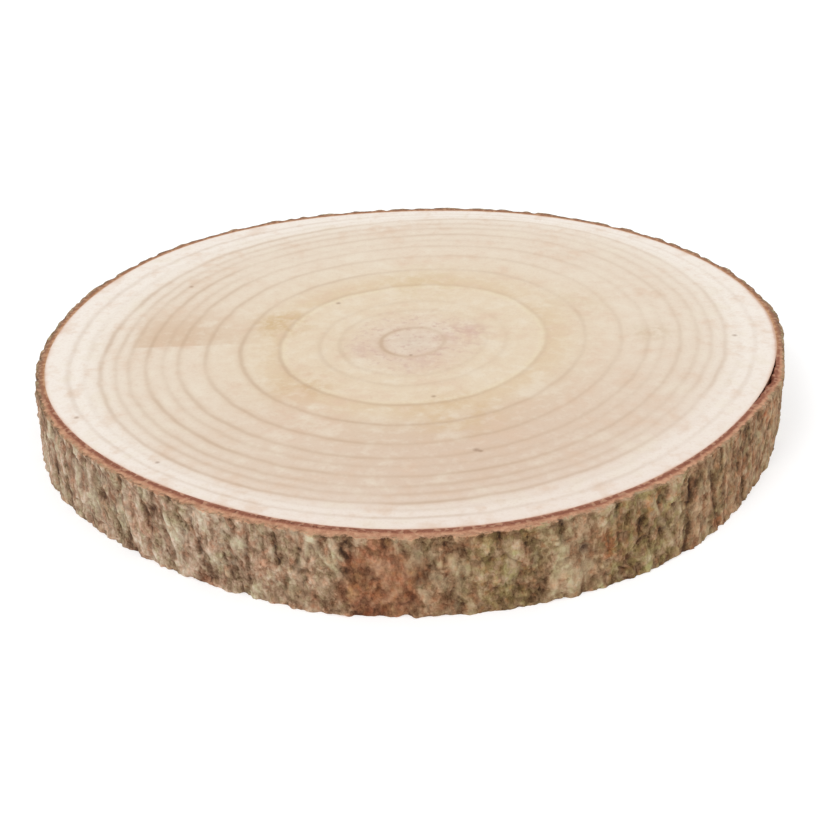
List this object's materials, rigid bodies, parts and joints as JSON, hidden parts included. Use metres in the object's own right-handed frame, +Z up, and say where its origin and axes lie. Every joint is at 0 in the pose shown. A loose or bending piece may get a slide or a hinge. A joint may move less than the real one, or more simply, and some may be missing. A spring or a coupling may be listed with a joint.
{
  "type": "wood slice",
  "caption": "Round cross-cut slice of a tree trunk: a flat sanded face of growth rings inside a ring of rough, furrowed bark, for use as a board or display base.",
  "frame": {"origin": "middle of the underside, at the centre of the slice's box", "axes": "+Z up through the thickness of the slice, -Y towards the viewer of the picture, +X to the viewer's right"},
  "size_m": [0.2972, 0.2978, 0.032],
  "materials": {
    "wood": "dry, finely sanded end grain with tan growth rings, unvarnished",
    "bark": "rough furrowed bark, brown with grey-green lichen, orange-brown where cut"
  },
  "bodies": {
    "root": {"wood": "wood", "bark": "bark"}
  },
  "joints": []
}
